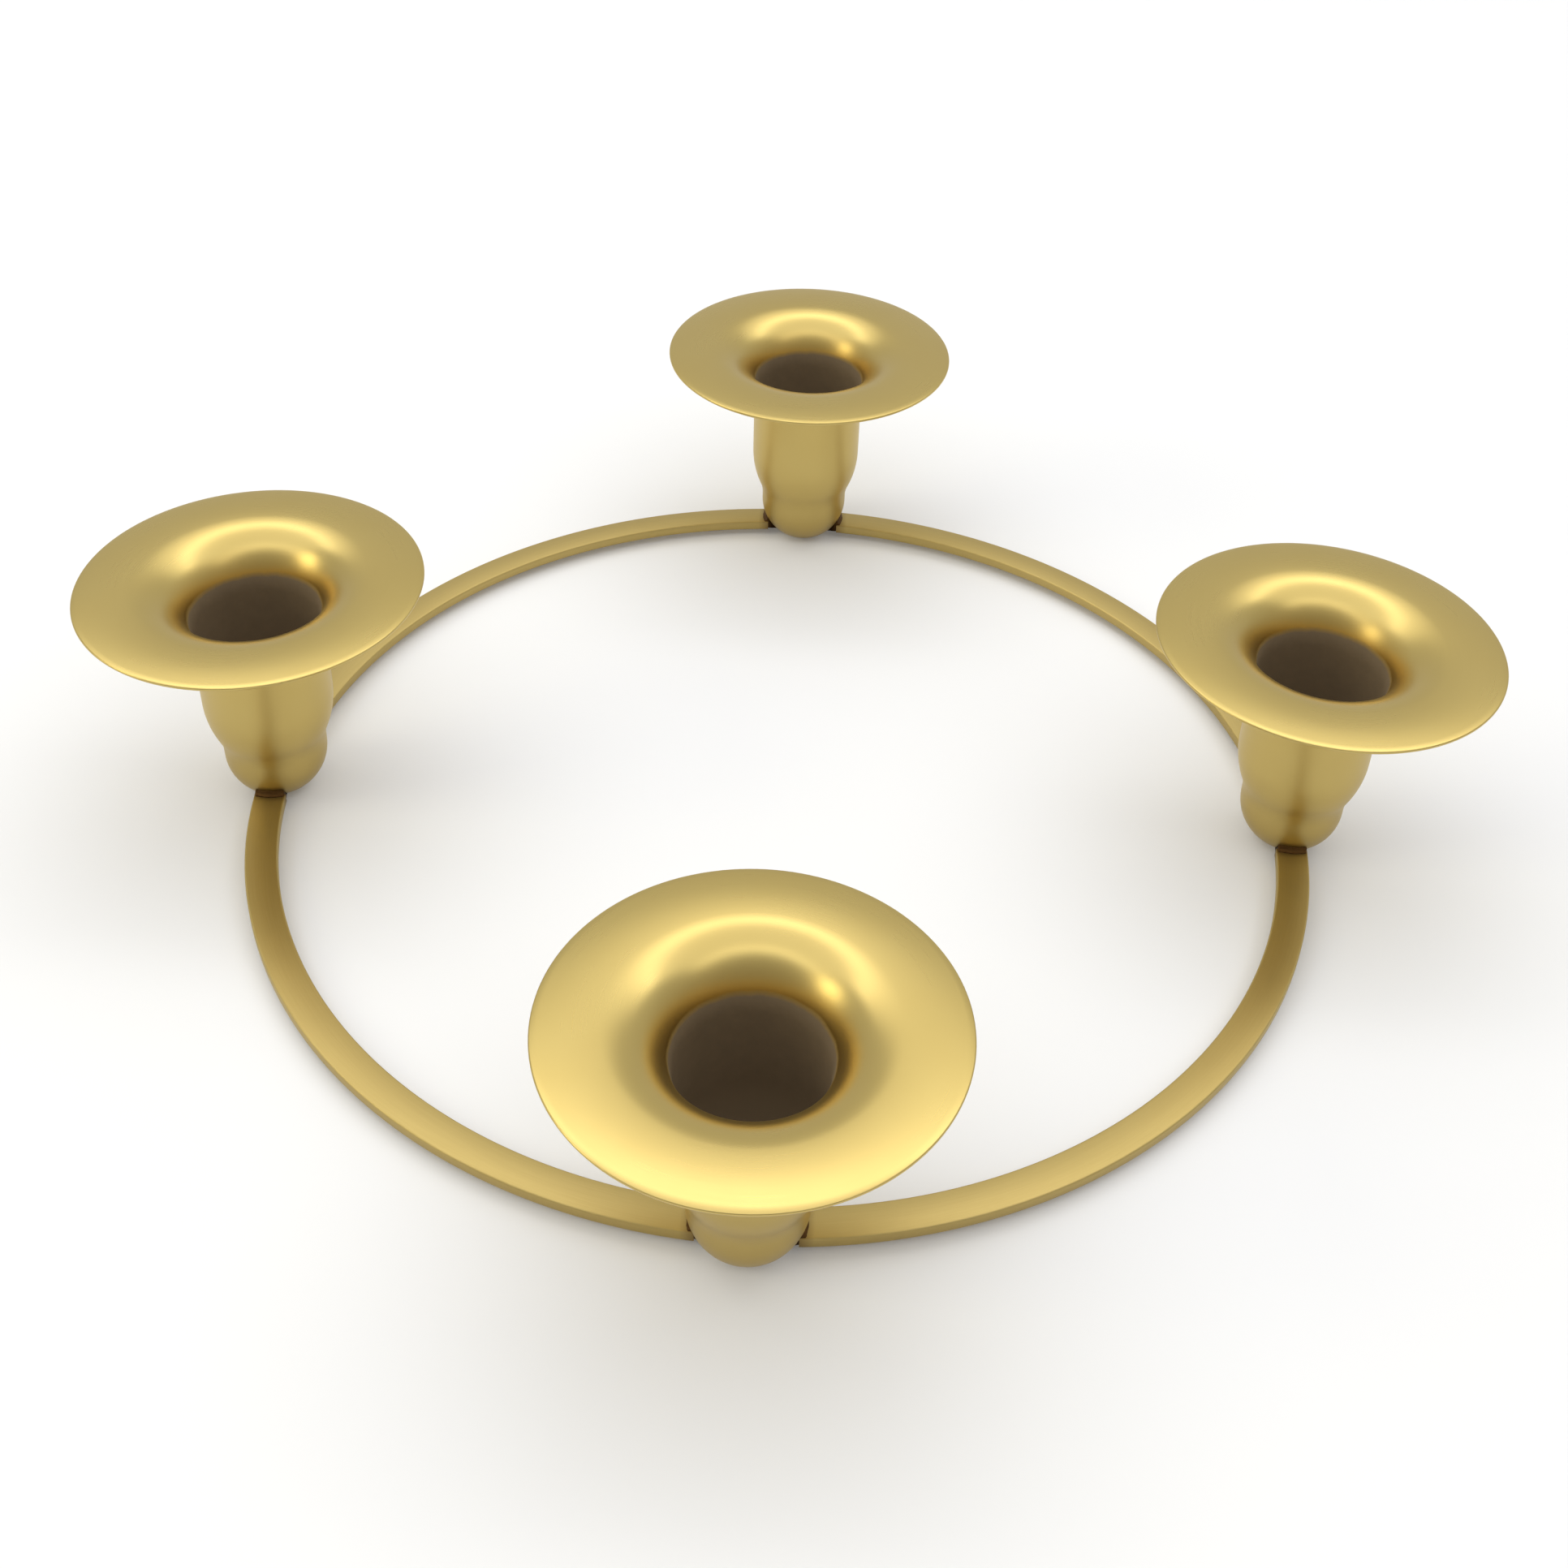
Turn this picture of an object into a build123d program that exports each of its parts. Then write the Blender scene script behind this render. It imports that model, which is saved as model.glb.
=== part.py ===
from build123d import *
import math
import os

# Candle ring for four candles: four trumpet-mouthed candle cups, brazed between the ends of
# four flat bars that are bent to one circle. The cups' rounded feet stand on the table.
# Millimetres, +Z up. The origin is on the table, under the centre of the ring.

# Ring
RING_R = 94.2            # middle of the bar, and the circle that the cup axes stand on
BAR_W = 5.7              # across the flat
BAR_T = 2.0
BAR_EDGE_R = 0.3         # long edges of the drawn bar
BAR_END = 7.7            # square-cut bar end, from the cup axis

# Candle cup, one sheet-brass shell of even wall
WALL = 0.6
BORE_R = 11.0            # takes a 22 mm candle
RIM_R = 30.0
RIM_ABOVE_BAR = 42.2
THROAT_R = 10.2          # bend from the upright bore to the pan
THROAT_TURN = 87.0       # degrees
CROWN_R = 48.0           # slow crown from the bend out to the rim
SHOULDER_ABOVE_BAR = 18.0
SHOULDER_R = 20.0        # where the straight neck starts to draw in
WAIST_ABOVE_FOOT = 1.3   # upright thimble wall, above the round of the foot
FOOT_R = 9.25
FOOT_FLAT_R = 3.0        # flat that the foot stands on
FOOT_CENTRE_ABOVE_BAR = 5.2

# Braze fillet, in the nook between a foot and a bar end
BRAZE_LEG = 1.6          # along the bar, from its end
BRAZE_RISE = 1.05        # up the foot, from the top of the bar
BRAZE_HOLLOW = 0.3       # dip of its face between the two
BRAZE_INSET = 0.3        # inside the bar's edges and above its underside

CUPS = {"front": -90, "right": 0, "back": 90, "left": 180}

# Heights that follow from the sizes above
foot_z = math.sqrt(FOOT_R**2 - FOOT_FLAT_R**2)
bar_top = foot_z - FOOT_CENTRE_ABOVE_BAR
bar_bottom = bar_top - BAR_T
waist_z = foot_z + WAIST_ABOVE_FOOT
shoulder_z = bar_top + SHOULDER_ABOVE_BAR
rim_z = bar_top + RIM_ABOVE_BAR
neck_r = BORE_R + WALL


def polar(centre, radius, angle):
    """Point on a circle in the cup's section, which holds radius and height."""
    turn = math.radians(angle)
    return (centre[0] + radius * math.cos(turn), centre[1] + radius * math.sin(turn))


def arc(centre, radius, start, end):
    return ThreePointArc(*(polar(centre, radius, a) for a in (start, (start + end) / 2, end)))


# The waist arc meets the shoulder arc smoothly, so its radius follows from the two heights.
draw_in = neck_r - FOOT_R
drop = shoulder_z - waist_z
waist_r = (drop**2 + draw_in**2) / (2 * draw_in) - SHOULDER_R
slant = math.degrees(math.asin(drop / (SHOULDER_R + waist_r)))
shoulder_c = (neck_r - SHOULDER_R, shoulder_z)
waist_c = (FOOT_R + waist_r, waist_z)

# The crown carries on from the throat bend, and its end sets the height of both.
throat_end = 180 - THROAT_TURN
throat_x = BORE_R + THROAT_R
crown_x = throat_x + (THROAT_R - CROWN_R) * math.cos(math.radians(throat_end))
edge_r = WALL / 2
crown_mid_r = CROWN_R - edge_r
crown_end = math.degrees(math.acos((RIM_R - edge_r - crown_x) / crown_mid_r))
crown_z = rim_z - CROWN_R * math.sin(math.radians(crown_end))
throat_z = crown_z - (THROAT_R - CROWN_R) * math.sin(math.radians(throat_end))
throat_c = (throat_x, throat_z)
crown_c = (crown_x, crown_z)
rim_c = polar(crown_c, crown_mid_r, crown_end)


def cup_wall(inset):
    """One face of the cup's wall, from the foot's flat to the rim; inset is 0 or the wall."""
    foot_round = FOOT_R - inset
    flat_angle = math.degrees(math.asin((inset - foot_z) / foot_round))
    foot = arc((0, foot_z), foot_round, flat_angle, 0)
    thimble = Line((foot_round, foot_z), (foot_round, waist_z))
    waist = arc(waist_c, waist_r + inset, 180, 180 - slant)
    shoulder = arc(shoulder_c, SHOULDER_R - inset, -slant, 0)
    neck = Line((neck_r - inset, shoulder_z), (neck_r - inset, throat_z))
    throat = arc(throat_c, THROAT_R - WALL + inset, 180, throat_end)
    crown = arc(crown_c, CROWN_R - WALL + inset, throat_end, crown_end)
    return [foot, thimble, waist, shoulder, neck, throat, crown]


def turned(edges):
    """Solid of revolution of a closed section about the cup's own axis."""
    return revolve(Plane.XZ * make_face(Wire(edges).edges()), Axis.Z)


def cup():
    outside = cup_wall(0)
    inside = cup_wall(WALL)
    rim = ThreePointArc(outside[-1] @ 1, polar(rim_c, edge_r, crown_end - 90), inside[-1] @ 1)
    floor = Line((0, WALL), inside[0] @ 0)
    sole = Line((0, 0), outside[0] @ 0)
    axis = Line((0, 0), (0, WALL))
    return turned(outside + inside + [rim, floor, sole, axis])


def foot_block():
    """The foot as a full body, to cut what is fitted to it."""
    foot = arc((0, foot_z), FOOT_R, math.degrees(math.asin(-foot_z / FOOT_R)), 0)
    sole = Line((0, 0), foot @ 0)
    top = Line((0, foot_z), foot @ 1)
    return turned([foot, sole, top, Line((0, 0), (0, foot_z))])


def ring_band(width, bottom, top):
    band = Circle(RING_R + width / 2) - Circle(RING_R - width / 2)
    return Pos(0, 0, bottom) * extrude(band, top - bottom)


def bar():
    """The bar between the right and the back cup: a quarter of the ring with square-cut ends."""
    band = ring_band(BAR_W, bar_bottom, bar_top)
    band = fillet(band.edges().filter_by(GeomType.CIRCLE), BAR_EDGE_R)
    corner = (Align.MIN, Align.MIN, Align.CENTER)
    quarter = Pos(BAR_END, BAR_END, 0) * Box(RING_R * 2, RING_R * 2, RING_R, align=corner)
    return band & quarter


def braze(bars):
    """Filler on both sides of the right cup's foot, up the foot and a little way along the bars."""
    low = bar_bottom + BRAZE_INSET
    high = bar_top + BRAZE_RISE
    leg_end = (BAR_END + BRAZE_LEG, bar_top)
    rise_end = (math.sqrt(FOOT_R**2 - (foot_z - high) ** 2), high)
    behind = FOOT_FLAT_R
    outline = [SagittaArc(leg_end, rise_end, BRAZE_HOLLOW),
               Line(rise_end, (behind, high)),
               Line((behind, high), (behind, low)),
               Line((behind, low), (leg_end[0], low)),
               Line((leg_end[0], low), leg_end)]
    collar = Pos(RING_R, 0, 0) * (turned(outline) - foot_block())
    collar = collar & ring_band(BAR_W - 2 * BRAZE_INSET, low, high)
    for neighbour in bars:
        collar = collar - neighbour
    return collar


first_bar = bar()
first_cup = Pos(RING_R, 0, 0) * cup()
first_braze = braze([first_bar, Rot(0, 0, -90) * first_bar])

os.makedirs("parts", exist_ok=True)
names = list(CUPS)
for place, name in enumerate(names):
    angle = CUPS[name]
    following = names[(place + 1) % len(names)]
    pieces = {f"cup_{name}": first_cup,
              f"braze_{name}": first_braze,
              f"bar_{name}_{following}": first_bar}
    for node, shape in pieces.items():
        export_step(Rot(0, 0, angle) * shape, f"parts/{node}.step")

print(f"bar {bar_bottom:.2f} to {bar_top:.2f}, rim {rim_z:.2f}, throat starts at {throat_z:.2f}")
print(f"straight bore {throat_z - shoulder_z:.2f} long, waist radius {waist_r:.2f}")
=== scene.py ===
import math

import bpy
from mathutils import Matrix, Vector


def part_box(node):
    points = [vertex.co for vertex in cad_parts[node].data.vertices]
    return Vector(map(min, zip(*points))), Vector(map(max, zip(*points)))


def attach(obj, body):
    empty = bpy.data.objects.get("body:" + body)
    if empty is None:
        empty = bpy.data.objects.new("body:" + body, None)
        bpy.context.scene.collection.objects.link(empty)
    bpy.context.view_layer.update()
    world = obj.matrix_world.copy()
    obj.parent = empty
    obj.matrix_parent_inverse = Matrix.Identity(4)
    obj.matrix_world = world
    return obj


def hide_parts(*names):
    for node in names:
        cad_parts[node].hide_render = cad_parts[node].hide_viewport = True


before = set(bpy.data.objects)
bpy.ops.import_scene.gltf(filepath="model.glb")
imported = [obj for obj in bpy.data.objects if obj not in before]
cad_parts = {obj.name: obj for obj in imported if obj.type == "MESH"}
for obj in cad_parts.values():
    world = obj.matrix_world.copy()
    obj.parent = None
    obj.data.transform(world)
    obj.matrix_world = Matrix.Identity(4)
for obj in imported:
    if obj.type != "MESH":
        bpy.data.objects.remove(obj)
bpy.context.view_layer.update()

# Candle cups. Each is one shell of sheet brass: a round foot to stand on, a thimble that draws out
# to a straight neck, and a wide trumpet mouth that catches the wax. It is pressed and spun, then
# turned to a satin face and lacquered; inside the neck the metal is left bare and has gone brown.
MM = 0.001
CUP_WALL = 0.6 * MM
CUP_BORE_R = 11.0 * MM
CUP_RIM_R = 30.0 * MM
CUP_RIM_Z = 45.75 * MM
CUP_THROAT_R = 10.2 * MM
CUP_THROAT_TURN = 87.0
CUP_CROWN_R = 48.0 * MM
CUP_SHOULDER_Z = 21.55 * MM
CUP_SHOULDER_R = 20.0 * MM
CUP_WAIST_Z = 10.05 * MM
CUP_FOOT_R = 9.25 * MM
CUP_FOOT_FLAT_R = 3.0 * MM
CUP_EDGE_BEVEL = 0.24 * MM
CUP_LIP = 1.0 * MM
CUP_SIDES = 144
CUP_FOOT_STEPS = 14
CUP_THIMBLE_STEPS = 9
CUP_NECK_STEPS = 6
CUP_THROAT_STEPS = 24
CUP_CROWN_STEPS = 8
CUP_SMOOTH_UNDER = math.radians(35)


def deselect_all():
    bpy.ops.object.select_all(action="DESELECT")


def arc_points(centre, radius, start, end, steps):
    """Points along an arc of a turned section, as radius and height, without its first point."""
    angles = [math.radians(start + (end - start) * k / steps) for k in range(1, steps + 1)]
    return [(centre[0] + radius * math.cos(a), centre[1] + radius * math.sin(a)) for a in angles]


def cup_section():
    """The inside of the cup's wall, from the foot up through the neck and out over the mouth."""
    foot_z = math.sqrt(CUP_FOOT_R**2 - CUP_FOOT_FLAT_R**2)
    foot_round = CUP_FOOT_R - CUP_WALL
    flat = math.degrees(math.asin((CUP_WALL - foot_z) / foot_round))
    points = [(foot_round * math.cos(math.radians(flat)), CUP_WALL)]
    points += arc_points((0, foot_z), foot_round, flat, 0, CUP_FOOT_STEPS)
    neck_r = CUP_BORE_R + CUP_WALL
    draw_in = neck_r - CUP_FOOT_R
    drop = CUP_SHOULDER_Z - CUP_WAIST_Z
    waist_r = (drop**2 + draw_in**2) / (2 * draw_in) - CUP_SHOULDER_R
    slant = math.degrees(math.asin(drop / (CUP_SHOULDER_R + waist_r)))
    points.append((foot_round, CUP_WAIST_Z))
    waist = (CUP_FOOT_R + waist_r, CUP_WAIST_Z)
    points += arc_points(waist, waist_r + CUP_WALL, 180, 180 - slant, CUP_THIMBLE_STEPS)
    shoulder = (neck_r - CUP_SHOULDER_R, CUP_SHOULDER_Z)
    points += arc_points(shoulder, CUP_SHOULDER_R - CUP_WALL, -slant, 0, CUP_THIMBLE_STEPS)
    throat_end = 180 - CUP_THROAT_TURN
    throat_x = CUP_BORE_R + CUP_THROAT_R
    crown_x = throat_x + (CUP_THROAT_R - CUP_CROWN_R) * math.cos(math.radians(throat_end))
    crown_end = math.degrees(math.acos((CUP_RIM_R - crown_x) / CUP_CROWN_R))
    crown_z = CUP_RIM_Z - CUP_CROWN_R * math.sin(math.radians(crown_end))
    throat_z = crown_z - (CUP_THROAT_R - CUP_CROWN_R) * math.sin(math.radians(throat_end))
    for k in range(1, CUP_NECK_STEPS + 1):
        height = CUP_SHOULDER_Z + (throat_z - CUP_SHOULDER_Z) * k / CUP_NECK_STEPS
        points.append((CUP_BORE_R, height))
    points += arc_points((throat_x, throat_z), CUP_THROAT_R, 180, throat_end, CUP_THROAT_STEPS)
    points += arc_points((crown_x, crown_z), CUP_CROWN_R, throat_end, crown_end, CUP_CROWN_STEPS)
    return points


def select_edges(mesh, wanted):
    """In object mode, picks just the edges whose two ends both satisfy a test of their place."""
    for vertex in mesh.vertices:
        vertex.select = False
    for face in mesh.polygons:
        face.select = False
    for edge in mesh.edges:
        ends = [mesh.vertices[v].co for v in edge.vertices]
        edge.select = wanted(*ends)
        if edge.select:
            for v in edge.vertices:
                mesh.vertices[v].select = True


def apply_modifier(piece, kind, **settings):
    modifier = piece.modifiers.new(kind.lower(), kind)
    for key, value in settings.items():
        setattr(modifier, key, value)
    bpy.context.view_layer.objects.active = piece
    bpy.ops.object.modifier_apply(modifier=modifier.name)


def spun_cup():
    """One cup, raised from a disc at the foot, with its axis on the origin's."""
    points = cup_section()
    disc_r, disc_z = points[0]
    deselect_all()
    bpy.ops.mesh.primitive_circle_add(vertices=CUP_SIDES, radius=disc_r, fill_type="TRIFAN",
                                      location=(0, 0, disc_z))
    cup = bpy.context.object
    bpy.ops.object.transform_apply(location=True)
    select_edges(cup.data, lambda a, b: min(a.xy.length, b.xy.length) > disc_r / 2)
    bpy.ops.object.mode_set(mode="EDIT")
    bpy.ops.mesh.select_mode(type="EDGE")
    for (r0, z0), (r1, z1) in zip(points, points[1:]):
        bpy.ops.mesh.extrude_region_move(TRANSFORM_OT_translate={"value": (0, 0, z1 - z0)})
        scale = r1 / r0
        bpy.ops.transform.resize(value=(scale, scale, 1), center_override=(0, 0, z1))
    bpy.ops.mesh.select_all(action="SELECT")
    bpy.ops.mesh.remove_doubles(threshold=CUP_WALL / 100)
    bpy.ops.mesh.normals_make_consistent(inside=False)
    bpy.ops.object.mode_set(mode="OBJECT")
    outer_ring = max(cup.data.polygons, key=lambda f: f.center.xy.length)
    if outer_ring.normal.z < 0:
        cup.data.flip_normals()
    apply_modifier(cup, "SOLIDIFY", thickness=CUP_WALL, offset=-1, use_even_offset=True)
    select_edges(cup.data, lambda a, b: min(a.xy.length, b.xy.length) > CUP_RIM_R - CUP_WALL / 2
                 and abs(a.z - b.z) < CUP_WALL / 100)
    bpy.ops.object.mode_set(mode="EDIT")
    bpy.ops.mesh.bevel(offset=CUP_EDGE_BEVEL, segments=3, affect="EDGES")
    bpy.ops.object.mode_set(mode="OBJECT")
    for face in cup.data.polygons:
        towards_axis = face.normal.xy.dot(face.center.xy) < 0 or face.center.xy.length < CUP_FOOT_FLAT_R
        inside = towards_axis and face.normal.z > -0.01 and face.center.z < CUP_RIM_Z - CUP_LIP
        on_sole = face.center.z < CUP_WALL / 2
        face.material_index = 1 if inside and not on_sole else 0
    deselect_all()
    cup.select_set(True)
    bpy.context.view_layer.objects.active = cup
    bpy.ops.object.shade_smooth_by_angle(angle=CUP_SMOOTH_UNDER)
    return cup


class Nodes:
    """A material's node tree, with short ways to add and join nodes."""

    def __init__(self, name):
        self.material = bpy.data.materials.new(name)
        self.material.use_nodes = True
        self.tree = self.material.node_tree
        self.surface = self.tree.nodes["Principled BSDF"]

    def add(self, kind, settings=None, inputs=None):
        node = self.tree.nodes.new(kind)
        for key, value in (settings or {}).items():
            setattr(node, key, value)
        for key, value in (inputs or {}).items():
            self.put(node.inputs[key], value)
        return node

    def put(self, socket, value):
        if isinstance(value, bpy.types.NodeSocket):
            self.tree.links.new(value, socket)
        else:
            socket.default_value = value

    def math(self, operation, *values):
        node = self.add("ShaderNodeMath", {"operation": operation})
        for socket, value in zip(node.inputs, values):
            self.put(socket, value)
        return node.outputs[0]

    def mix(self, amount, first, second):
        node = self.add("ShaderNodeMix", {"data_type": "RGBA"})
        for index, value in ((0, amount), (6, first), (7, second)):
            self.put(node.inputs[index], value if not isinstance(value, tuple) else (*value, 1))
        return node.outputs[2]

    def noise(self, vector, scale, detail=2.0, roughness=0.5):
        node = self.add("ShaderNodeTexNoise", inputs={"Vector": vector, "Scale": scale, "Detail": detail,
                                                      "Roughness": roughness})
        return node.outputs["Fac"]

    def finish(self, **values):
        for key, value in values.items():
            self.put(self.surface.inputs[key.replace("_", " ")], value)
        return self.material


SATIN_GOLD = (0.575, 0.443, 0.158)
SATIN_GOLD_DEEP = (0.53, 0.395, 0.13)
SATIN_CLOUDS = 55
SATIN_GRAIN = 2400
SATIN_UNEVEN = 0.05
# This brown is laid low on each cup as painted shade, strongest at the foot; on the bar ends it is heat
# tint.
HEAT_BROWN_AND_FOOT_SHADE = (0.20, 0.125, 0.05)
FOOT_SHADE_LOW = 1 * MM
FOOT_SHADE_HIGH = 16 * MM
FOOT_PAINTED_SHADE = 0.32
BARE_Z = CUP_RIM_Z - 6.9 * MM
BARE_BLEND = 1.0 * MM
BARE_WANDER = 0.6 * BARE_BLEND
# The amber between gold and bare brown is partly tarnish and partly painted shade with warm reflected
# light near the bore.
AMBER_TARNISH_AND_SHADE_BLEND = 5.0 * MM
AMBER_TARNISH_AND_SHADE = (0.47, 0.30, 0.075)
# Deeper in the bore the brown is lightened as painted light, offsetting the shade that gathers down the
# neck.
BARE_BROWN_TOP = (0.180, 0.133, 0.080)
BARE_BROWN_PAINTED_FILL = (0.260, 0.191, 0.115)
BARE_PAINTED_FILL_DEPTH = 18 * MM
BARE_STAINS = 420
BARE_MOTTLE = 0.6
BARE_ROUGHNESS = 0.68
BARE_SHINE = 0.2
BODY_ROUGHNESS = 0.40
MOUTH_ROUGHNESS = 0.285
MOUTH_BLEND_LOW = 40.5 * MM
MOUTH_BLEND_HIGH = 45.0 * MM
TURNING_LINES = 2600
TURNING_SWEEP = 1.3
TURNING_RELIEF = 0.02 * MM
TURNING_BUMP = 0.03
TURNING_SHARE = 0.25


def turned_coordinates(nodes, centre):
    """Place on a cup as a lathe sees it: slow round the axis, quick across the turning marks."""
    place = nodes.add("ShaderNodeTexCoord").outputs["Object"]
    centred = nodes.add("ShaderNodeMapping", {"vector_type": "POINT"},
                        {"Vector": place, "Location": (-centre.x, -centre.y, 0)}).outputs[0]
    xyz = nodes.add("ShaderNodeSeparateXYZ", inputs={0: centred}).outputs
    across = nodes.math("SQRT", nodes.math("ADD", nodes.math("MULTIPLY", xyz[0], xyz[0]),
                                           nodes.math("MULTIPLY", xyz[1], xyz[1])))
    safe = nodes.math("MAXIMUM", across, CUP_WALL)
    around_x = nodes.math("MULTIPLY", nodes.math("DIVIDE", xyz[0], safe), TURNING_SWEEP)
    around_y = nodes.math("MULTIPLY", nodes.math("DIVIDE", xyz[1], safe), TURNING_SWEEP)
    along = nodes.math("MULTIPLY", nodes.math("ADD", across, xyz[2]), TURNING_LINES)
    turned = nodes.add("ShaderNodeCombineXYZ", inputs={0: around_x, 1: around_y, 2: along}).outputs[0]
    return centred, turned, xyz[2]


def cup_brass(name, centre, bare):
    """Satin gold for a cup. The bare kind turns brown below the height where the finish ends."""
    nodes = Nodes(name)
    place, turned, height = turned_coordinates(nodes, centre)
    cloud = nodes.noise(place, SATIN_CLOUDS, 3)
    grain = nodes.noise(place, SATIN_GRAIN, 2)
    lines = nodes.noise(turned, 1.0, 3, 0.6)
    colour = nodes.mix(cloud, SATIN_GOLD, SATIN_GOLD_DEEP)
    mouth = nodes.add("ShaderNodeMapRange", inputs={
        "Value": height, "From Min": MOUTH_BLEND_LOW, "From Max": MOUTH_BLEND_HIGH,
        "To Min": BODY_ROUGHNESS, "To Max": MOUTH_ROUGHNESS}).outputs[0]
    uneven = nodes.math("SUBTRACT", nodes.math("ADD", cloud, lines), 1.0)
    roughness = nodes.math("ADD", mouth, nodes.math("MULTIPLY", uneven, SATIN_UNEVEN))
    # Painted shade: the gold is browned low on the body, strongest at the foot and gone higher up,
    # standing in for shade and dark floor reflection.
    foot_shade = nodes.add("ShaderNodeMapRange", inputs={
        "Value": height, "From Min": FOOT_SHADE_LOW, "From Max": FOOT_SHADE_HIGH,
        "To Min": FOOT_PAINTED_SHADE, "To Max": 0.0}).outputs[0]
    colour = nodes.mix(foot_shade, colour, HEAT_BROWN_AND_FOOT_SHADE)
    metal = 1.0
    if bare:
        stain = nodes.noise(place, BARE_STAINS, 4, 0.6)
        mottle = nodes.math("SUBTRACT", stain, 0.5)
        above = nodes.math("ADD", height, nodes.math("MULTIPLY", mottle, BARE_WANDER))
        above = nodes.math("SUBTRACT", above, BARE_Z)
        finished = nodes.math("DIVIDE", above, BARE_BLEND)
        finished = nodes.math("MINIMUM", nodes.math("MAXIMUM", finished, 0.0), 1.0)
        # Gold fades to amber towards the bare line: partly tarnish, partly painted shade and warm
        # reflection.
        gold_over_amber_shade = nodes.math("DIVIDE", above, AMBER_TARNISH_AND_SHADE_BLEND)
        gold_over_amber_shade = nodes.math("MINIMUM", nodes.math("MAXIMUM", gold_over_amber_shade, 0.0), 1.0)
        # Painted light: the brown lightens with depth below the bare line to offset the bore's shade,
        # and random mottle is added.
        painted_fill_and_mottle = nodes.math("DIVIDE", nodes.math("SUBTRACT", BARE_Z, height), BARE_PAINTED_FILL_DEPTH)
        painted_fill_and_mottle = nodes.math("ADD", painted_fill_and_mottle, nodes.math("MULTIPLY", mottle, BARE_MOTTLE))
        brown = nodes.mix(painted_fill_and_mottle, BARE_BROWN_TOP, BARE_BROWN_PAINTED_FILL)
        colour = nodes.mix(finished, brown, nodes.mix(gold_over_amber_shade, AMBER_TARNISH_AND_SHADE, colour))
        smoother = nodes.math("MULTIPLY", finished, nodes.math("SUBTRACT", BARE_ROUGHNESS, roughness))
        roughness = nodes.math("SUBTRACT", BARE_ROUGHNESS, smoother)
        metal = finished
        nodes.surface.inputs["Specular IOR Level"].default_value = BARE_SHINE
    relief = nodes.math("ADD", nodes.math("MULTIPLY", lines, TURNING_SHARE),
                        nodes.math("MULTIPLY", grain, 1 - TURNING_SHARE))
    bump = nodes.add("ShaderNodeBump", inputs={
        "Height": relief, "Strength": TURNING_BUMP, "Distance": TURNING_RELIEF}).outputs[0]
    return nodes.finish(Base_Color=colour, Roughness=roughness, Metallic=metal, Normal=bump)


def place_copy(master, name, matrix):
    """A copy with its own mesh, moved in the mesh, so that its object stays at the origin."""
    piece = master.copy()
    piece.data = master.data.copy()
    piece.name = name
    piece.data.name = name
    piece.data.transform(matrix)
    bpy.context.collection.objects.link(piece)
    return piece


CUP_NAMES = ("front", "right", "back", "left")
master_cup = spun_cup()
for place in CUP_NAMES:
    low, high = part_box(f"cup_{place}")
    centre = (low + high) / 2
    cup = place_copy(master_cup, f"spun_cup_{place}", Matrix.Translation((centre.x, centre.y, 0)))
    cup.data.materials.append(cup_brass(f"satin_brass_{place}", centre, bare=False))
    cup.data.materials.append(cup_brass(f"bare_inside_{place}", centre, bare=True))
    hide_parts(f"cup_{place}")
    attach(cup, "root")
bpy.data.objects.remove(master_cup, do_unlink=True)

# Ring bars. Four lengths of flat drawn brass, bent on the flat to one circle and cut off square
# beside each foot. Their long edges are eased, and the face is brushed along its length.
BAR_FACE_LOW, BAR_FACE_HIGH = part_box("bar_right_back")
BAR_END = BAR_FACE_LOW.x
BAR_OUTER_R = math.hypot(BAR_FACE_HIGH.x, BAR_END)
BAR_WIDTH = 5.7 * MM
BAR_THICK = BAR_FACE_HIGH.z - BAR_FACE_LOW.z
BAR_EASE = 0.3 * MM
BAR_SIDES = 288
BAR_SMOOTH_UNDER = math.radians(40)
BAR_QUARTERS = {"right_back": 0, "back_left": 90, "left_front": 180, "front_right": 270}
BRUSHED_GOLD = (0.51, 0.388, 0.148)
BRUSHED_GOLD_DEEP = (0.44, 0.33, 0.115)
BRUSH_LINES = 5200
BRUSH_SWEEP = 9.0
BRUSH_CLOUDS = 48
BRUSH_ROUGHNESS = 0.43
BRUSH_UNEVEN = 0.08
BRUSH_BUMP = 0.12
BRUSH_RELIEF = 0.03 * MM
HEAT_REACH = 2.2 * MM
HEAT_LEAST = 0.3


def cut_square(piece, axis):
    """Keeps the part of the piece that lies beyond the bar's end plane on one axis."""
    deselect_all()
    piece.select_set(True)
    bpy.context.view_layer.objects.active = piece
    bpy.ops.object.mode_set(mode="EDIT")
    bpy.ops.mesh.select_all(action="SELECT")
    point = [BAR_END * value for value in axis]
    bpy.ops.mesh.bisect(plane_co=point, plane_no=axis, clear_inner=True)
    bpy.ops.object.mode_set(mode="OBJECT")


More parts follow.
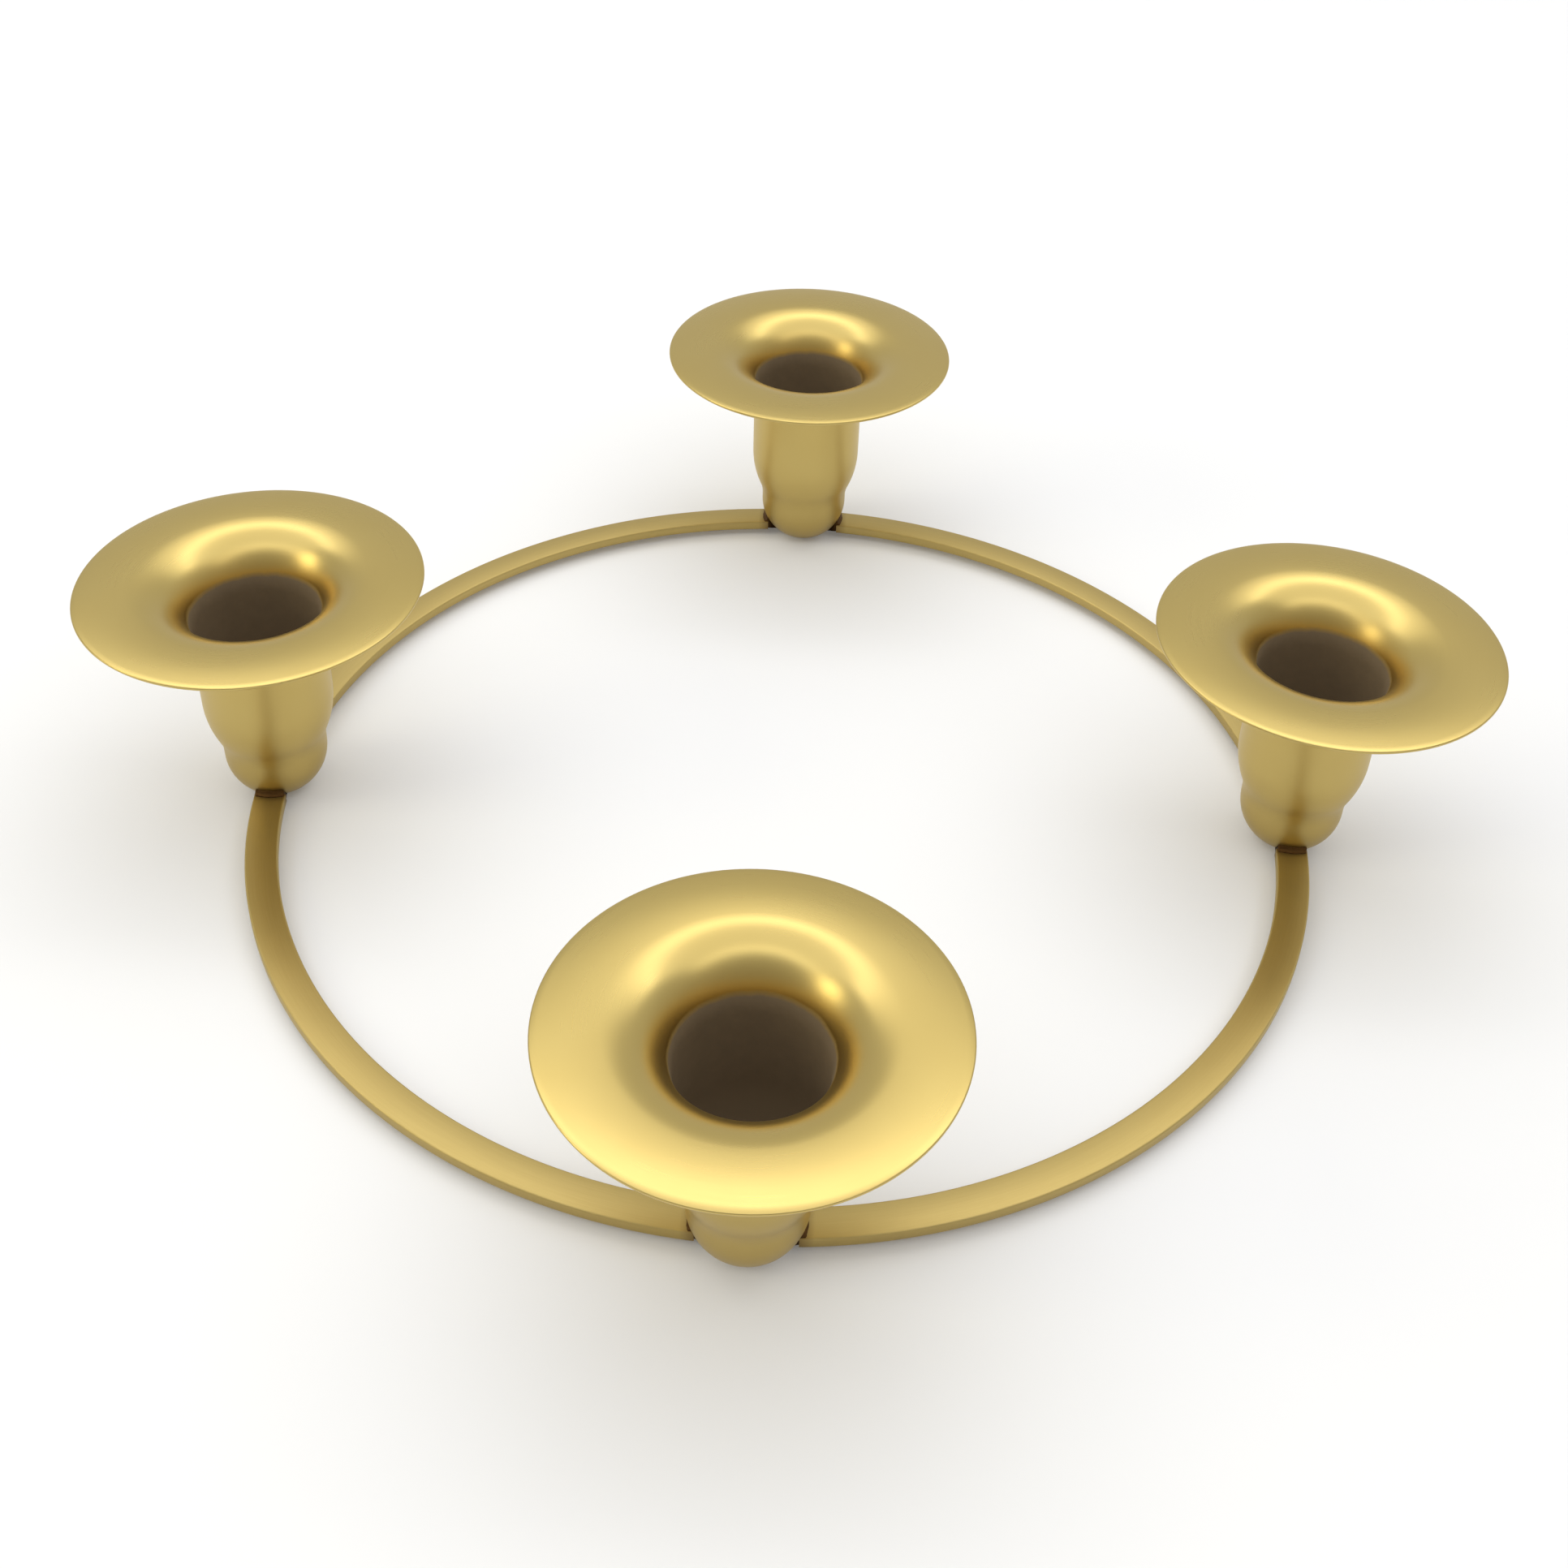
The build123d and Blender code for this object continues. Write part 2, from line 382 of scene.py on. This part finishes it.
def bent_bar():
    """The quarter of the ring between the right cup and the back cup."""
    inner = BAR_OUTER_R - BAR_WIDTH
    deselect_all()
    bpy.ops.mesh.primitive_circle_add(vertices=BAR_SIDES, radius=inner, location=(0, 0, BAR_FACE_HIGH.z))
    bar = bpy.context.object
    bpy.ops.object.transform_apply(location=True)
    bpy.ops.object.mode_set(mode="EDIT")
    bpy.ops.mesh.select_all(action="SELECT")
    bpy.ops.mesh.extrude_region_move()
    scale = BAR_OUTER_R / inner
    bpy.ops.transform.resize(value=(scale, scale, 1), center_override=(0, 0, BAR_FACE_HIGH.z))
    bpy.ops.object.mode_set(mode="OBJECT")
    cut_square(bar, (1, 0, 0))
    cut_square(bar, (0, 1, 0))
    if bar.data.polygons[0].normal.z < 0:
        bar.data.flip_normals()
    apply_modifier(bar, "SOLIDIFY", thickness=BAR_THICK, offset=-1)
    middle = (inner + BAR_OUTER_R) / 2
    end_reach = BAR_END + BAR_EASE / 10

    def long_edge(a, b):
        at_end = max(a.x, b.x) < end_reach or max(a.y, b.y) < end_reach
        same_side = (a.xy.length - middle) * (b.xy.length - middle) > 0
        level = abs(a.z - b.z) < BAR_THICK / 10
        return same_side and level and not at_end

    select_edges(bar.data, long_edge)
    bpy.ops.object.mode_set(mode="EDIT")
    bpy.ops.mesh.select_mode(type="EDGE")
    bpy.ops.mesh.bevel(offset=BAR_EASE, segments=3, affect="EDGES")
    bpy.ops.object.mode_set(mode="OBJECT")
    bpy.ops.object.shade_smooth_by_angle(angle=BAR_SMOOTH_UNDER)
    return bar


def brushed_brass():
    """Gold brushed along the ring, browned by the torch for a short way from each end."""
    nodes = Nodes("brushed_brass")
    place = nodes.add("ShaderNodeTexCoord").outputs["Object"]
    xyz = nodes.add("ShaderNodeSeparateXYZ", inputs={0: place}).outputs
    across = nodes.math("SQRT", nodes.math("ADD", nodes.math("MULTIPLY", xyz[0], xyz[0]),
                                           nodes.math("MULTIPLY", xyz[1], xyz[1])))
    around_x = nodes.math("MULTIPLY", nodes.math("DIVIDE", xyz[0], across), BRUSH_SWEEP)
    around_y = nodes.math("MULTIPLY", nodes.math("DIVIDE", xyz[1], across), BRUSH_SWEEP)
    lay = nodes.math("MULTIPLY", nodes.math("ADD", across, xyz[2]), BRUSH_LINES)
    brushed = nodes.add("ShaderNodeCombineXYZ", inputs={0: around_x, 1: around_y, 2: lay}).outputs[0]
    lines = nodes.noise(brushed, 1.0, 3, 0.6)
    cloud = nodes.noise(place, BRUSH_CLOUDS, 3)
    from_end = nodes.math("MINIMUM", nodes.math("ABSOLUTE", xyz[0]), nodes.math("ABSOLUTE", xyz[1]))
    cooled = nodes.math("DIVIDE", nodes.math("SUBTRACT", from_end, BAR_END), HEAT_REACH)
    heat = nodes.math("MAXIMUM", nodes.math("SUBTRACT", 1.0, cooled), 0.0)
    heat = nodes.math("MULTIPLY", heat, nodes.math("ADD", cloud, HEAT_LEAST))
    worn = nodes.math("MULTIPLY", nodes.math("ADD", cloud, lines), 0.5)
    gold = nodes.mix(worn, BRUSHED_GOLD, BRUSHED_GOLD_DEEP)
    colour = nodes.mix(nodes.math("MINIMUM", heat, 1.0), gold, HEAT_BROWN_AND_FOOT_SHADE)
    roughness = nodes.math("ADD", BRUSH_ROUGHNESS, nodes.math("MULTIPLY", lines, BRUSH_UNEVEN))
    bump = nodes.add("ShaderNodeBump", inputs={
        "Height": lines, "Strength": BRUSH_BUMP, "Distance": BRUSH_RELIEF}).outputs[0]
    return nodes.finish(Base_Color=colour, Roughness=roughness, Metallic=1.0, Normal=bump)


master_bar = bent_bar()
bar_finish = brushed_brass()
for span, turn in BAR_QUARTERS.items():
    bar = place_copy(master_bar, f"bent_bar_{span}", Matrix.Rotation(math.radians(turn), 4, "Z"))
    bar.data.materials.append(bar_finish)
    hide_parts(f"bar_{span}")
    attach(bar, "root")
bpy.data.objects.remove(master_bar, do_unlink=True)

# Brazed seams. Each bar end is joined to a foot with a small fillet of brazing metal, run in hot
# and left as it froze: dark brown with flux, a little lumpy, and not cleaned up. Painted shade
# makes it near black in the crevice by the foot.
BRAZE_VOXEL = 0.11 * MM
BRAZE_LUMP = 0.18 * MM
BRAZE_LUMP_SIZE = 1.1 * MM
BRAZE_SWELL = 0.1 * MM
BRAZE_SOFTENING = 5
# The near black by the foot is dark flux with painted shade of the gap between foot and bar laid over
# it.
BRAZE_CREVICE_FLUX_AND_SHADE = (0.020, 0.009, 0.003)
BRAZE_TOE = (0.11, 0.055, 0.017)
BRAZE_CREVICE_AT = BAR_END - 1.2 * MM
BRAZE_TOE_AT = BAR_END + 1.0 * MM
BRAZE_TOE_LEAST = 0.45
BRAZE_STAINS = 900
BRAZE_ROUGHNESS = 0.42
BRAZE_UNEVEN = 0.3
BRAZE_BUMP = 0.3
BRAZE_RELIEF = 0.08 * MM


def flux_brown_and_crevice_shade():
    """Near black in the crevice by the foot, where painted shade lies over the dark flux, and reddish
    brown where the fillet thins on the bar.
    """
    nodes = Nodes("flux_brown_and_crevice_shade")
    place = nodes.add("ShaderNodeTexCoord").outputs["Object"]
    xyz = nodes.add("ShaderNodeSeparateXYZ", inputs={0: place}).outputs
    stain = nodes.noise(place, BRAZE_STAINS, 4, 0.6)
    out_along_bar = nodes.math("MINIMUM", nodes.math("ABSOLUTE", xyz[0]), nodes.math("ABSOLUTE", xyz[1]))
    toe = nodes.add("ShaderNodeMapRange", {"interpolation_type": "SMOOTHSTEP"}, {
        "Value": out_along_bar, "From Min": BRAZE_CREVICE_AT, "From Max": BRAZE_TOE_AT}).outputs[0]
    toe = nodes.math("MULTIPLY", toe, nodes.math("ADD", stain, BRAZE_TOE_LEAST))
    colour = nodes.mix(nodes.math("MINIMUM", toe, 1.0), BRAZE_CREVICE_FLUX_AND_SHADE, BRAZE_TOE)
    roughness = nodes.math("ADD", BRAZE_ROUGHNESS, nodes.math("MULTIPLY", stain, BRAZE_UNEVEN))
    bump = nodes.add("ShaderNodeBump", inputs={
        "Height": stain, "Strength": BRAZE_BUMP, "Distance": BRAZE_RELIEF}).outputs[0]
    return nodes.finish(Base_Color=colour, Roughness=roughness, Metallic=1.0, Normal=bump)


braze_finish = flux_brown_and_crevice_shade()
lumps = bpy.data.textures.new("braze_lumps", "CLOUDS")
lumps.noise_scale = BRAZE_LUMP_SIZE
for place in CUP_NAMES:
    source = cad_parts[f"braze_{place}"]
    seam = source.copy()
    seam.data = source.data.copy()
    for key in list(seam.keys()):
        del seam[key]
    seam.parent = None
    seam.name = f"brazed_seam_{place}"
    bpy.context.collection.objects.link(seam)
    deselect_all()
    seam.select_set(True)
    bpy.context.view_layer.objects.active = seam
    bpy.ops.object.mode_set(mode="EDIT")
    bpy.ops.mesh.select_all(action="SELECT")
    bpy.ops.mesh.remove_doubles(threshold=0.001 * MM)
    bpy.ops.object.mode_set(mode="OBJECT")
    apply_modifier(seam, "REMESH", mode="VOXEL", voxel_size=BRAZE_VOXEL)
    apply_modifier(seam, "DISPLACE", strength=BRAZE_SWELL, mid_level=0)
    apply_modifier(seam, "SMOOTH", factor=0.5, iterations=BRAZE_SOFTENING)
    apply_modifier(seam, "DISPLACE", texture=lumps, texture_coords="GLOBAL", strength=BRAZE_LUMP,
                   mid_level=0.5)
    bpy.ops.object.shade_smooth()
    seam.data.materials.clear()
    seam.data.materials.append(braze_finish)
    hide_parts(f"braze_{place}")
    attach(seam, "root")

# Floor. A plain pale sheet under the feet, much larger than the object, whose colour comes up to
# white where nothing shades it.
FLOOR_HALF = 6.0
FLOOR_COLOUR = (0.77, 0.77, 0.77)
FLOOR_LIFT = 0.08

deselect_all()
bpy.ops.mesh.primitive_plane_add(size=2 * FLOOR_HALF, location=(0, 0, 0))
floor = bpy.context.object
floor.name = "floor"
floor_nodes = Nodes("floor_white")
path = floor_nodes.add("ShaderNodeLightPath").outputs
seen = floor_nodes.math("MAXIMUM", path["Is Camera Ray"], path["Is Glossy Ray"])
seen = floor_nodes.math("MAXIMUM", seen, path["Is Transmission Ray"])
floor_nodes.surface.inputs["Specular IOR Level"].default_value = 0.0
floor_nodes.finish(Base_Color=(*FLOOR_COLOUR, 1), Roughness=1.0, Emission_Color=(1, 1, 1, 1),
                   Emission_Strength=floor_nodes.math("MULTIPLY", seen, FLOOR_LIFT))
floor.data.materials.append(floor_nodes.material)

# Light. A big soft panel overhead with two brighter strips, one behind it and one in front, a small
# warm lamp low on the left, and a grey room that is darker on the side of the camera.
ROOM_FAR = 0.73
ROOM_NEAR = 0.42
PANEL_BRIGHTNESS = 0.62
BACK_STRIP_BRIGHTNESS = 1.2
FRONT_STRIP_BRIGHTNESS = 0.78
SIDE_LAMP_BRIGHTNESS = 3.3
SIDE_LAMP_COLOUR = (1.0, 0.94, 0.70)
LAMP_AIM = Vector((0, 0, 30 * MM))


def soft_panel(name, direction, distance, width, height, brightness, colour=(1, 1, 1)):
    """A lamp that faces the object. Its width runs level, and brightness is what a mirror shows."""
    lamp = bpy.data.lights.new(name, "AREA")
    lamp.shape = "RECTANGLE"
    lamp.size = width
    lamp.size_y = height
    lamp.energy = 4 * width * height * brightness
    lamp.color = colour
    holder = bpy.data.objects.new(name, lamp)
    bpy.context.collection.objects.link(holder)
    outward = Vector(direction).normalized() * distance
    turn = outward.to_track_quat("Z", "Y").to_matrix().to_4x4()
    holder.matrix_world = Matrix.Translation(LAMP_AIM + outward) @ turn
    holder.visible_camera = False


def over_the_table(angle):
    """A direction over the middle of the table: 0 is level and away from the camera, 90 is up."""
    return (0, math.cos(math.radians(angle)), math.sin(math.radians(angle)))


soft_panel("overhead_panel", over_the_table(85.5), distance=2.2, width=4.8, height=3.6,
           brightness=PANEL_BRIGHTNESS)
soft_panel("back_strip", over_the_table(68.5), distance=2.0, width=4.0, height=0.48,
           brightness=BACK_STRIP_BRIGHTNESS)
soft_panel("front_strip", over_the_table(119), distance=2.0, width=4.0, height=0.34,
           brightness=FRONT_STRIP_BRIGHTNESS)
soft_panel("side_lamp", (-0.86, -0.22, 0.45), distance=1.6, width=0.56, height=0.56,
           brightness=SIDE_LAMP_BRIGHTNESS, colour=SIDE_LAMP_COLOUR)

room = bpy.data.worlds.new("grey_room")
bpy.context.scene.world = room
room.use_nodes = True
room_tree = room.node_tree
looking = room_tree.nodes.new("ShaderNodeTexCoord").outputs["Generated"]
split = room_tree.nodes.new("ShaderNodeSeparateXYZ")
room_tree.links.new(looking, split.inputs[0])
fade = room_tree.nodes.new("ShaderNodeMapRange")
fade.inputs["From Min"].default_value = -1
fade.inputs["From Max"].default_value = 1
fade.inputs["To Min"].default_value = ROOM_NEAR
fade.inputs["To Max"].default_value = ROOM_FAR
room_tree.links.new(split.outputs[1], fade.inputs["Value"])
backdrop = room_tree.nodes["Background"]
backdrop.inputs["Color"].default_value = (1, 1, 1, 1)
room_tree.links.new(fade.outputs[0], backdrop.inputs["Strength"])

# Camera. It looks down at the table from in front, as the photograph does. Its turn, dip and roll
# are in degrees, and its shift follows the way the photograph is cropped.
CAMERA_PLACE = Vector((0.0074, -0.27005, 0.24360))
CAMERA_LENS = 44.12
CAMERA_FILM = 36
CAMERA_SHIFT = (-0.0126, -0.1377)
CAMERA_YAW = 1.051
CAMERA_DIP = 34.925
CAMERA_ROLL = 2.428

view = bpy.data.cameras.new("photo_view")
view.lens = CAMERA_LENS
view.sensor_width = CAMERA_FILM
view.shift_x, view.shift_y = CAMERA_SHIFT
view.clip_start = 10 * MM
camera = bpy.data.objects.new("photo_view", view)
bpy.context.collection.objects.link(camera)
camera.matrix_world = (Matrix.Translation(CAMERA_PLACE)
                       @ Matrix.Rotation(math.radians(CAMERA_YAW), 4, "Z")
                       @ Matrix.Rotation(math.radians(90 - CAMERA_DIP), 4, "X")
                       @ Matrix.Rotation(math.radians(CAMERA_ROLL), 4, "Z"))
bpy.context.scene.camera = camera
bpy.context.scene.view_settings.view_transform = "Standard"
